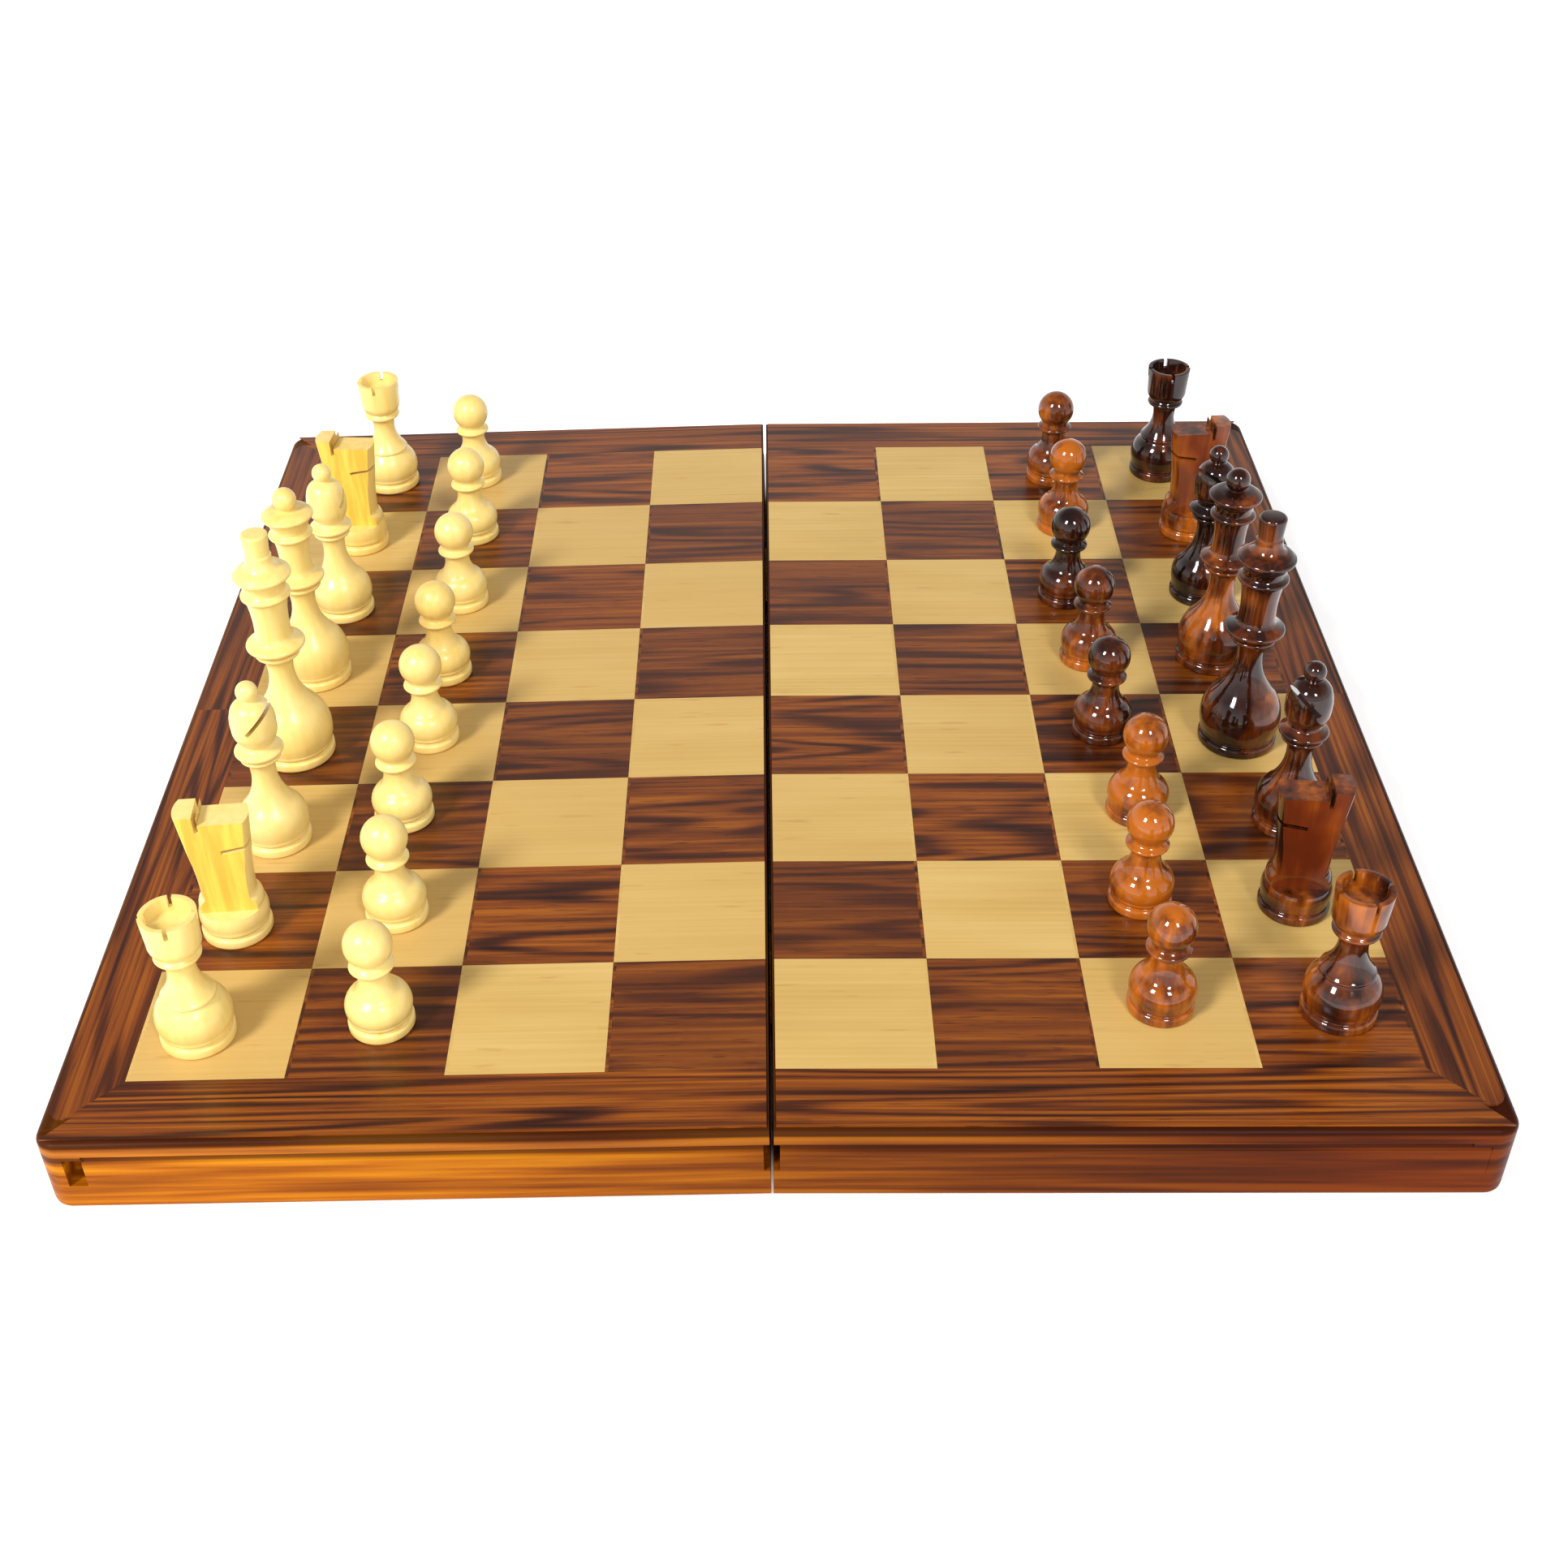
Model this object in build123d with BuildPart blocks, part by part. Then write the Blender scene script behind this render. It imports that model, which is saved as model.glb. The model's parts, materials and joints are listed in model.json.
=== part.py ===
"""A chess set on its folding board: two hinged trays, hollow side down, and thirty-two turned men.

Millimetres. X runs from the light side to the dark side, Y away from the reader, Z up. The origin is
on the table under the middle of the hinge line. Each half of the board is drawn lying flat, with its
hinge axis on the Y axis, and is then set down: the board rides on its hinge barrels, so each half
slopes gently from the joint to its outer rim.
"""

import math
import os

from build123d import *

os.makedirs("parts", exist_ok=True)

# ---- Driving dimensions: the board --------------------------------------------------
square = 42.0
rows = 8
side_border = 19.4
end_border = 22.0
joint_margin = 0.6          # bare wood between the field and the joint face
joint_gap = 0.6             # between the two joint faces when the board is dead flat
board_height = 24.0         # from the hinge axis to the playing surface
rim_clearance = 0.05        # the rims stop this far short of the hinge axis
veneer = 0.5
knife_line = 0.05           # between neighbouring pieces of veneer
panel_thickness = 4.0
felt_thickness = 1.0
felt_margin = 1.5
rebate = 3.5                # how far the panel reaches into the rails

# ---- Driving dimensions: the rails --------------------------------------------------
side_rail = 12.0
end_rail = 10.0
joint_rail = 7.5
top_round = 2.0
foot_round = 5.5            # under the outer rails
edge_round = 1.5            # under the front and back rails
corner_round = 6.0
quirk_radius = 1.3          # the bead line along the outside of the rails
quirk_depth = 0.9
quirk_drop = 6.0            # from the playing surface to the middle of the bead line
groove_depth = 5.0          # inside the side rails, for the end rails' tongues
groove_height = 9.5
groove_drop = 10.8
tongue_clearance = 0.1
tongue_setback = 6.0        # one tongue stops short and leaves the groove's end open
joint_groove_depth = 1.6    # outside the joint rails
joint_groove_height = 8.5
joint_groove_drop = 10.1

# ---- Driving dimensions: hinges, screws and magnets ---------------------------------
hinge_offset = 110.0        # from the middle of the board to the middle of each hinge
hinge_length = 38.0
knuckles = 5
knuckle_gap = 0.2
barrel_radius = 2.25
pin_radius = 0.9
pin_clearance = 0.04
pin_head = 0.4              # how far the pin stands out of the barrel
barrel_clearance = 0.35
leaf_margin = 1.4           # of wood left between a leaf and the tray
leaf_thickness = 1.2
screws_a_leaf = 3
screw_pitch = 12.0
screw_head_radius = 1.5
screw_head_height = 0.9
screw_radius = 0.8
screw_length = 8.0
screw_slot = 0.4
magnet_radius = 2.5
magnet_thickness = 3.0
magnet_clearance = 0.05
magnet_offset = 120.0

# ---- Driving dimensions: the men ----------------------------------------------------
pawn_foot = 9.0
rook_foot = 10.2
knight_foot = 10.0
bishop_foot = 10.2
queen_foot = 11.5
king_foot = 12.0
seat_clearance = 0.02       # between a man's foot and the veneer
kerf = 1.2                  # the saw cut in rooks, bishops and knights
rook_kerf_depth = 3.0
knight_flat = 4.6           # from the knight's middle to each sawn flat
knight_step = 2.6           # the knight's brow stands this much lower than its ears

# ---- Worked-out dimensions ----------------------------------------------------------
columns = rows // 2
half_gap = joint_gap / 2
field_start = half_gap + joint_margin
field_end = field_start + columns * square
field_side = rows * square / 2
half_width = field_end + side_border
half_depth = field_side + end_border
wood_top = board_height - veneer
panel_bottom = wood_top - panel_thickness
felt_bottom = panel_bottom - felt_thickness
joint_inside = half_gap + joint_rail
side_inside = half_width - side_rail
end_inside = half_depth - end_rail
leaf_start = barrel_radius + barrel_clearance
leaf_edge = joint_inside - leaf_margin
tilt = math.degrees(math.asin((barrel_radius + rim_clearance) / (half_width - foot_round)))

# ---- Where each half of the board stands --------------------------------------------
set_down = {
    "right": Location((0, 0, barrel_radius), (0, tilt, 0)),
    "left": Location((0, 0, barrel_radius), (0, -tilt, 0)),
}
turned_about = {"right": Location(), "left": Location((0, 0, 0), (0, 0, 180))}


def save(part, name, side, place=Location()):
    """Sets a finished piece down with its half of the board, labels it and writes it."""
    piece = set_down[side] * place * part
    piece.label = name
    export_step(piece, f"parts/{name}.step")


def block(x_span, y_span, z_span, mode=Mode.ADD):
    """A block between pairs of limits, added to or taken from the part being made."""
    spans = (x_span, y_span, z_span)
    with Locations(tuple((low + high) / 2 for low, high in spans)):
        Box(*(high - low for low, high in spans), mode=mode)


def around(middle, size):
    """The two limits of a size centred on a middle."""
    return middle - size / 2, middle + size / 2


def rod_along_x(y, z, radius, x_span, mode=Mode.ADD):
    """A round rod along X between two limits."""
    with Locations((sum(x_span) / 2, y, z)):
        Cylinder(radius, x_span[1] - x_span[0], rotation=(0, 90, 0), mode=mode)


def rod_along_y(x, z, radius, y_span, mode=Mode.ADD):
    """A round rod along Y between two limits."""
    with Locations((x, sum(y_span) / 2, z)):
        Cylinder(radius, y_span[1] - y_span[0], rotation=(90, 0, 0), mode=mode)


# ---- The blank that a half's four rails are sawn from --------------------------------
foot_x = half_width - foot_round
foot_z = rim_clearance + foot_round
past_y = (-half_depth - foot_round, half_depth + foot_round)
with BuildPart() as foot_waste:
    block((foot_x, half_width + foot_round), past_y, (rim_clearance - foot_round, foot_z))
    rod_along_y(foot_x, foot_z, foot_round, past_y, Mode.SUBTRACT)

with BuildPart() as blank:
    block((half_gap, half_width), (-half_depth, half_depth), (rim_clearance, wood_top))
    fillet(blank.edges().filter_by(Axis.Z).sort_by(Axis.X)[-2:], corner_round)
    fillet(blank.faces().sort_by(Axis.Z)[-1].edges().sort_by(Axis.X)[1:], top_round)
    fillet(blank.faces().sort_by(Axis.Z)[0].edges().sort_by(Axis.X)[1:], edge_round)
    add(foot_waste.part, mode=Mode.SUBTRACT)

panel_x = (joint_inside - rebate, side_inside + rebate)
panel_y = (-end_inside - rebate, end_inside + rebate)
full_y = (-half_depth, half_depth)
full_z = (rim_clearance, wood_top)
groove_z = around(board_height - groove_drop, groove_height)
quirk_x = half_width + quirk_radius - quirk_depth
quirk_y = half_depth + quirk_radius - quirk_depth
quirk_z = board_height - quirk_drop


def take_panel_rebate():
    """Cuts the seat of the top panel out of the rail being made."""
    block(panel_x, panel_y, (panel_bottom, wood_top), Mode.SUBTRACT)


def take_end_quirk(ends):
    """Cuts the bead line along the front (-1) or back (+1) face."""
    for end in ends:
        rod_along_x(end * quirk_y, quirk_z, quirk_radius, (half_gap, half_width), Mode.SUBTRACT)


# ---- Screws and magnets, and the holes they sit in ----------------------------------
with BuildPart() as screw_body:
    with BuildSketch(Plane.XZ):
        with BuildLine():
            Polyline(
                (0, 0),
                (screw_head_radius, 0),
                (screw_radius, screw_head_height),
                (screw_radius, screw_length - screw_radius),
                (0, screw_length),
                close=True,
            )
        make_face()
    revolve(axis=Axis.Z)

with BuildPart() as screw:
    add(screw_body.part)
    block(around(0, screw_slot), around(0, 2 * screw_head_radius), (0, screw_slot), Mode.SUBTRACT)

screw_places = [
    (
        (leaf_start + leaf_edge) / 2,
        end * hinge_offset + (index - (screws_a_leaf - 1) / 2) * screw_pitch,
        rim_clearance,
    )
    for end in (-1, 1)
    for index in range(screws_a_leaf)
]
magnet_x = (side_inside + half_width - foot_round) / 2
magnet_places = [
    (magnet_x, end * magnet_offset, rim_clearance + magnet_thickness / 2) for end in (-1, 1)
]

with BuildPart() as screws:
    with Locations(*screw_places):
        add(screw.part)

with BuildPart() as magnets:
    with Locations(*magnet_places):
        Cylinder(magnet_radius, magnet_thickness)

# ---- Rails --------------------------------------------------------------------------
with BuildPart() as outer_rail:
    add(blank.part)
    block((side_inside, half_width), full_y, full_z, Mode.INTERSECT)
    take_panel_rebate()
    block((side_inside, side_inside + groove_depth), full_y, groove_z, Mode.SUBTRACT)
    rod_along_y(quirk_x, quirk_z, quirk_radius, full_y, Mode.SUBTRACT)
    with Locations(*magnet_places):
        Cylinder(magnet_radius + magnet_clearance, magnet_thickness, mode=Mode.SUBTRACT)

with BuildPart() as middle_rail:
    add(blank.part)
    block((half_gap, joint_inside), full_y, full_z, Mode.INTERSECT)
    take_panel_rebate()
    take_end_quirk((-1, 1))
    block(
        (half_gap, half_gap + joint_groove_depth),
        full_y,
        around(board_height - joint_groove_drop, joint_groove_height),
        Mode.SUBTRACT,
    )
    for hinge_y in (-hinge_offset, hinge_offset):
        relief_y = around(hinge_y, hinge_length + 2 * (pin_head + knuckle_gap))
        rod_along_y(0, 0, barrel_radius + barrel_clearance, relief_y, Mode.SUBTRACT)
        block(
            (half_gap, leaf_edge),
            around(hinge_y, hinge_length),
            (rim_clearance, rim_clearance + leaf_thickness),
            Mode.SUBTRACT,
        )
    with Locations(*screw_places):
        add(screw_body.part, mode=Mode.SUBTRACT)


def end_rail_part(end, setback):
    """The front (-1) or back (+1) rail, with its tongue into the outer rail's groove."""
    y_span = tuple(sorted((end * end_inside, end * half_depth)))
    tongue_y = tuple(sorted((end * end_inside, end * (half_depth - setback))))
    tongue_x = (side_inside, side_inside + groove_depth - tongue_clearance)
    with BuildPart() as rail:
        add(blank.part)
        block((joint_inside, side_inside), y_span, full_z, Mode.INTERSECT)
        block(tongue_x, tongue_y, around(board_height - groove_drop, groove_height))
        take_panel_rebate()
        take_end_quirk((end,))
    return rail.part


# ---- Top panel, veneers and felt ----------------------------------------------------
with BuildPart() as panel:
    block(panel_x, panel_y, (panel_bottom, wood_top))

with BuildPart() as felt:
    block(
        (joint_inside + felt_margin, side_inside - felt_margin),
        (-end_inside + felt_margin, end_inside - felt_margin),
        (felt_bottom, panel_bottom),
    )


def squares_part(light):
    """The light or the dark squares of one half, each a separate piece of veneer."""
    corner_light = columns % 2 == 0
    centres = [
        (field_start + (column + 0.5) * square, -field_side + (row + 0.5) * square)
        for column in range(columns)
        for row in range(rows)
        if ((column + row) % 2 == 0) == (light == corner_light)
    ]
    with BuildPart() as squares:
        with BuildSketch(Plane.XY.offset(wood_top)):
            with Locations(*centres):
                Rectangle(square - knife_line, square - knife_line)
        extrude(amount=veneer)
    return squares.part


def border_part():
    """Three mitred strips of dark veneer round the field, each a separate piece."""
    outer_x = half_width - top_round
    outer_y = half_depth - top_round
    strips = (
        [(field_start, -field_side), (field_end, -field_side), (outer_x, -outer_y), (field_start, -outer_y)],
        [(field_start, field_side), (field_end, field_side), (outer_x, outer_y), (field_start, outer_y)],
        [(field_end, -field_side), (outer_x, -outer_y), (outer_x, outer_y), (field_end, field_side)],
    )
    with BuildPart() as strips_part:
        with BuildSketch(Plane.XY.offset(wood_top)):
            for corners in strips:
                with BuildSketch(mode=Mode.PRIVATE) as strip:
                    with BuildLine():
                        Polyline(*corners, close=True)
                    make_face()
                    offset(amount=-knife_line / 2, kind=Kind.INTERSECTION)
                add(strip.sketch)
        extrude(amount=veneer)
        tips = strips_part.edges().filter_by(Axis.Z).group_by(Axis.X)[-1]
        fillet(tips, corner_round - top_round)
    return strips_part.part


# ---- Hinges -------------------------------------------------------------------------
def leaves_part(own_knuckles):
    """Both hinges' leaves for one half, with the knuckles of the given numbers."""
    pitch = hinge_length / knuckles
    with BuildPart() as leaves:
        for hinge_y in (-hinge_offset, hinge_offset):
            leaf_z = (rim_clearance, rim_clearance + leaf_thickness)
            block((leaf_start, leaf_edge), around(hinge_y, hinge_length), leaf_z)
            for number in own_knuckles:
                centre = hinge_y + (number + 0.5) * pitch - hinge_length / 2
                y_span = around(centre, pitch - knuckle_gap)
                block((0, leaf_start), y_span, leaf_z)
                rod_along_y(0, 0, barrel_radius, y_span)
            bore = pin_radius + pin_clearance
            rod_along_y(0, 0, bore, around(hinge_y, hinge_length), Mode.SUBTRACT)
        with Locations(*screw_places):
            add(screw_body.part, mode=Mode.SUBTRACT)
    return leaves.part


with BuildPart() as pins:
    for hinge_y in (-hinge_offset, hinge_offset):
        rod_along_y(0, 0, pin_radius, around(hinge_y, hinge_length + 2 * pin_head))

# ---- Board pieces, written for both halves ------------------------------------------
leaf_knuckles = {"left": range(0, knuckles, 2), "right": range(1, knuckles, 2)}

for side in ("left", "right"):
    about = turned_about[side]
    save(outer_rail.part, f"{side}_outer_rail", side, about)
    save(middle_rail.part, f"{side}_joint_rail", side, about)
    near, far = (-1, 1) if side == "right" else (1, -1)
    setbacks = {-1: 0.0, 1: tongue_setback}
    save(end_rail_part(near, setbacks[near]), f"{side}_front_rail", side, about)
    save(end_rail_part(far, setbacks[far]), f"{side}_back_rail", side, about)
    save(panel.part, f"{side}_top_panel", side, about)
    save(squares_part(True), f"{side}_light_squares", side, about)
    save(squares_part(False), f"{side}_dark_squares", side, about)
    save(border_part(), f"{side}_border_veneer", side, about)
    save(felt.part, f"{side}_felt_lining", side, about)
    save(leaves_part(leaf_knuckles[side]), f"{side}_hinge_leaves", side, about)
    save(screws.part, f"{side}_hinge_screws", side, about)
    save(magnets.part, f"{side}_magnets", side, about)
save(pins.part, "hinge_pins", "left")


# ---- Turned men ---------------------------------------------------------------------
def foot_mould(radius):
    """The stations of the foot that every man stands on: a rounded disc and a quirk."""
    return [
        (radius - 0.6, 0, 0),
        (radius, 0.8, 0.12),
        (radius, 2.4, 0),
        (radius - 0.7, 3.2, 0.12),
        (radius - 1.0, 3.6, -0.15),
        (radius - 0.4, 4.4, 0.1),
        (radius - 0.4, 5.2, 0.05),
    ]


def ball(radius, top, neck):
    """The two stations of a ball of a radius, standing on a neck and reaching a height."""
    drop = math.sqrt(radius**2 - neck**2)
    half_sweep = (math.pi / 2 + math.asin(drop / radius)) / 2
    return [(neck, top - radius - drop, 0), (0, top, radius * (1 - math.cos(half_sweep)))]


def turned(stations):
    """A man turned to stations of (radius, height, bulge).

    Each station is joined to the last by a straight cut, a bead where its bulge is positive or a
    cove where it is negative. The bulge is how far the curve stands out from the straight cut.
    """
    with BuildPart() as man:
        with BuildSketch(Plane.XZ):
            with BuildLine():
                here = (0.0, 0.0)
                for radius, height, bulge in stations:
                    there = (radius, height)
                    if bulge:
                        run = Vector(*there) - Vector(*here)
                        out = Vector(run.Y, -run.X).normalized() * bulge
                        middle = (Vector(*here) + Vector(*there)) * 0.5 + out
                        ThreePointArc(here, middle, there)
                    else:
                        Line(here, there)
                    here = there
                Line(here, (0, 0))
            make_face()
        revolve(axis=Axis.Z)
    return man.part


pawn_stations = [
    *foot_mould(pawn_foot),
    (6.2, 12.4, 1.5),
    (5.8, 13.0, 0),
    (4.4, 20.2, -0.8),
    (5.7, 20.8, 0),
    (5.7, 22.0, 0.4),
    (4.7, 22.8, 0),
    *ball(6.6, 35.0, 4.7),
]
rook_height = 43.0
rook_stations = [
    *foot_mould(rook_foot),
    (7.7, 14.2, 1.5),
    (7.2, 14.9, 0),
    (7.2, 16.1, 0.3),
    (6.7, 16.8, 0),
    (4.4, 28.0, -1.4),
    (6.0, 28.8, 0),
    (6.0, 30.1, 0.4),
    (5.4, 30.8, 0),
    (7.1, 34.6, 0.6),
    (7.6, rook_height, 0),
    (6.1, rook_height, 0),
    (5.7, rook_height - 4.0, 0),
    (0, rook_height - 4.4, 0),
]
knight_height = 43.5
knight_stations = [
    *foot_mould(knight_foot),
    (9.1, 10.4, 0.5),
    (7.9, 14.0, 0.5),
    (7.7, 15.6, -0.1),
    (8.9, 30.0, -0.3),
    (10.3, knight_height, 0),
    (0, knight_height, 0),
]
bishop_stations = [
    *foot_mould(bishop_foot),
    (7.2, 15.2, 1.6),
    (6.7, 15.9, 0),
    (4.2, 30.0, -1.5),
    (5.6, 30.7, 0),
    (5.6, 31.7, 0.35),
    (5.0, 32.3, 0),
    (6.7, 33.0, 0),
    (6.7, 34.4, 0.45),
    (5.0, 35.4, 0),
    (4.7, 36.6, -0.2),
    (6.6, 42.2, 0.6),
    (6.0, 47.6, 0.3),
    (2.5, 50.9, 0.7),
    *ball(3.2, 57.0, 2.0),
]
queen_stations = [
    *foot_mould(queen_foot),
    (7.8, 18.4, 2.0),
    (7.3, 19.2, 0),
    (4.6, 34.2, -1.8),
    (6.2, 35.0, 0),
    (6.2, 36.2, 0.4),
    (5.4, 36.9, 0),
    (7.7, 37.9, 0),
    (7.7, 39.5, 0.55),
    (5.7, 40.6, 0),
    (5.0, 43.0, -0.2),
    (5.6, 53.2, -0.3),
    (6.6, 53.9, 0),
    (6.6, 55.3, 0.45),
    (5.8, 56.0, 0),
    (7.8, 60.6, -0.5),
    (7.8, 62.0, 0.45),
    (4.6, 63.1, 0.3),
    (2.4, 63.4, 0),
    *ball(3.8, 70.5, 2.4),
]
king_height = 80.0
king_stations = [
    *foot_mould(king_foot),
    (8.2, 19.8, 2.2),
    (7.7, 20.7, 0),
    (4.7, 36.6, -2.0),
    (6.4, 37.5, 0),
    (6.4, 38.8, 0.45),
    (5.6, 39.6, 0),
    (8.4, 40.6, 0),
    (8.4, 42.3, 0.6),
    (6.3, 43.5, 0),
    (5.5, 45.6, -0.2),
    (6.3, 57.6, -0.4),
    (7.1, 58.4, 0),
    (7.1, 59.9, 0.5),
    (6.3, 60.7, 0),
    (8.3, 65.2, -0.5),
    (8.3, 66.8, 0.5),
    (5.6, 68.4, 0.3),
    (4.0, 72.4, -0.6),
    (3.6, 73.0, 0),
    (4.1, king_height - 1.0, 0),
    (3.2, king_height, 0.25),
    (0, king_height, 0),
]


def rook_part():
    """A rook: a turned cup on a bell, with two saw cuts crossing its rim."""
    with BuildPart() as rook:
        add(turned(rook_stations))
        cut_z = (rook_height - rook_kerf_depth, rook_height)
        across = around(0, 2 * rook_foot)
        block(around(0, kerf), across, cut_z, Mode.SUBTRACT)
        block(across, around(0, kerf), cut_z, Mode.SUBTRACT)
    return rook.part


def bishop_part():
    """A bishop: a turned mitre with one slanting saw cut."""
    mouth = Plane(origin=(-0.8, 0, 42.6), x_dir=(1, 0, 1), z_dir=(-1, 0, 1))
    with BuildPart() as bishop:
        add(turned(bishop_stations))
        with BuildSketch(mouth.offset(-kerf / 2)):
            with Locations((bishop_foot, 0)):
                Rectangle(2 * bishop_foot, 2 * bishop_foot)
        extrude(amount=kerf, mode=Mode.SUBTRACT)
    return bishop.part


def knight_part():
    """A knight: a turned goblet sawn flat on both sides, with ears, a brow and a mouth."""
    reach = 2 * knight_foot
    ears = -knight_foot / 3
    mouth = Plane(origin=(1.2, 0, 31.0), x_dir=(1, 0, 0.18), z_dir=(-0.18, 0, 1))
    with BuildPart() as knight:
        add(turned(knight_stations))
        for flat_side in (-1, 1):
            flat_y = tuple(sorted((flat_side * knight_flat, flat_side * reach)))
            block((-reach, reach), flat_y, (knight_foot, knight_height), Mode.SUBTRACT)
        block((ears, reach), (-reach, reach), (knight_height - knight_step, knight_height), Mode.SUBTRACT)
        notch_z = (knight_height - 2 * knight_step, knight_height)
        block((ears - kerf, ears), (-reach, reach), notch_z, Mode.SUBTRACT)
        with BuildSketch(mouth.offset(-kerf / 2)):
            with Locations((knight_foot, 0)):
                Rectangle(2 * knight_foot, 2 * reach)
        extrude(amount=kerf, mode=Mode.SUBTRACT)
    return knight.part


men = {
    "king": turned(king_stations),
    "queen": turned(queen_stations),
    "bishop": bishop_part(),
    "knight": knight_part(),
    "rook": rook_part(),
    "pawn": turned(pawn_stations),
}

# Each man: kind, row from the front, how far it was put down from the square's middle in X and Y,
# and how far it is turned by hand.
light_men = {
    "light_rook_1": ("rook", 0, -5, -4, 8),
    "light_knight_1": ("knight", 1, -3, -3, 4),
    "light_bishop_1": ("bishop", 2, 1, -5, 0),
    "light_king": ("king", 3, -1, -3, 0),
    "light_queen": ("queen", 4, -2, -2, 0),
    "light_bishop_2": ("bishop", 5, 1, -4, 60),
    "light_knight_2": ("knight", 6, 0, -1, -5),
    "light_rook_2": ("rook", 7, 5, 2, -4),
    "light_pawn_1": ("pawn", 0, 2, -1, 0),
    "light_pawn_2": ("pawn", 1, 0, 1, 0),
    "light_pawn_3": ("pawn", 2, -4, 4, 0),
    "light_pawn_4": ("pawn", 3, -1, 2, 0),
    "light_pawn_5": ("pawn", 4, -1, -3, 0),
    "light_pawn_6": ("pawn", 5, 0, -1, 0),
    "light_pawn_7": ("pawn", 6, -1, 3, 0),
    "light_pawn_8": ("pawn", 7, -4, 3, 0),
}
dark_men = {
    "dark_rook_1": ("rook", 0, 3, 0, 12),
    "dark_knight_1": ("knight", 1, 0, 1, 175),
    "dark_bishop_1": ("bishop", 2, 6, -3, 190),
    "dark_king": ("king", 3, -1, -3, 0),
    "dark_queen": ("queen", 4, -1, 0, 0),
    "dark_bishop_2": ("bishop", 5, 2, -2, 215),
    "dark_knight_2": ("knight", 6, 5, -1, 184),
    "dark_rook_2": ("rook", 7, 1, 1, 3),
    "dark_pawn_1": ("pawn", 0, -2, 2, 0),
    "dark_pawn_2": ("pawn", 1, -1, 3, 0),
    "dark_pawn_3": ("pawn", 2, 4, 2, 0),
    "dark_pawn_4": ("pawn", 3, -1, 1, 0),
    "dark_pawn_5": ("pawn", 4, 0, 0, 0),
    "dark_pawn_6": ("pawn", 5, -3, -4, 0),
    "dark_pawn_7": ("pawn", 6, 2, 2, 0),
    "dark_pawn_8": ("pawn", 7, 2, -3, 0),
}

for side, outward, army in (("left", -1, light_men), ("right", 1, dark_men)):
    for name, (kind, row, aside, away, turn) in army.items():
        column = columns - (1.5 if kind == "pawn" else 0.5)
        x = outward * (field_start + column * square) + aside
        y = (row + 0.5) * square - field_side + away
        save(men[kind], name, side, Location((x, y, board_height + seat_clearance), (0, 0, turn)))

print(f"each half slopes {tilt:.4f} degrees")
print(f"board {2 * half_width:.1f} x {2 * half_depth:.1f} mm, {board_height + barrel_radius:.1f} mm high")
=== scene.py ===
# %% [markdown]
# # A chess set on its folding board
# The board is a shallow wooden box cut in two and hinged, so that it opens flat for play and closes
# over its men. The frame gives every piece of the joinery at its true size. What is left to make
# is what the eye enjoys: turned men with crisp rings, veneers with a real figure, lacquer and brass.

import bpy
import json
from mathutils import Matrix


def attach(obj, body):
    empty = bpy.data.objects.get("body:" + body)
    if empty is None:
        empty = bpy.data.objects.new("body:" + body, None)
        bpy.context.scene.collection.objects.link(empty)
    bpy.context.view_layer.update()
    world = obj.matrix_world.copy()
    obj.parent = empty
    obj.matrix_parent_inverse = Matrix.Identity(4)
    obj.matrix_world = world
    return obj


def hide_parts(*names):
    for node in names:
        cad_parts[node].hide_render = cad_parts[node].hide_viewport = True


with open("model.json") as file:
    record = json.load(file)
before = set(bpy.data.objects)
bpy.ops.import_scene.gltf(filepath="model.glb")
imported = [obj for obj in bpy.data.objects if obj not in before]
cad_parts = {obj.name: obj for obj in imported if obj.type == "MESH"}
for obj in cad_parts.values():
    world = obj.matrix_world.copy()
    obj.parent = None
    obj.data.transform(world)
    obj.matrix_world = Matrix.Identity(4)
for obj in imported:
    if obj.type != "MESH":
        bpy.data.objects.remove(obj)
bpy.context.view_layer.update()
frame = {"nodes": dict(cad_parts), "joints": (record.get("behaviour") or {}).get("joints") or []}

# %% The tools used all the way through
import json
import math

import bpy
from mathutils import Matrix, Vector

mm = 0.001
print("lengths below are written in millimetres and multiplied by", mm)

# %% [markdown]
# ## Where the two halves lie
# The hinge barrels stand a little proud of the rim, so the open board rides on them and each half
# slopes away from the middle. The slope could be typed in again, but the fold joint already knows
# it: the joint turns back by both slopes together before the board is dead flat.

# %% The slope of each half
fold = next(joint for joint in frame["joints"] if joint["name"] == "board_fold")
hinge_line = Vector(fold["pos_m"])
slope = math.radians(-fold["range_deg"][0]) / 2
slopes = {"left": -slope, "right": slope}
halves = {
    side: Matrix.Translation(hinge_line) @ Matrix.Rotation(turn, 4, "Y") for side, turn in slopes.items()
}
bodies = {"left": "left_half", "right": "right_half"}
print(f"each half slopes {math.degrees(slope):.3f} degrees")

# %% [markdown]
# ## Camera
# A seated player's view: a little above and in front, looking down on the whole board. It comes
# before the pieces.

# %% Camera
square = 42 * mm
bpy.ops.object.camera_add(location=(0.0019, -12.869 * square, 0.4066))
camera = bpy.context.object
camera.rotation_euler = [math.radians(angle) for angle in (52.392, 1.3825, 0.4958)]
camera.data.lens = 46.64
camera.data.shift_x = 0.0342
bpy.context.scene.camera = camera
bpy.context.scene.view_settings.view_transform = "Standard"
print("camera stands", round(-camera.location.y, 3), "m in front of the middle")

# %% [markdown]
# ## Shader maths that reads like arithmetic
# Wood is made of sums of noises, and wiring every sum by hand hides the idea. A reading is one
# number that changes over a surface; adding or multiplying readings makes the Math nodes.

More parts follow.
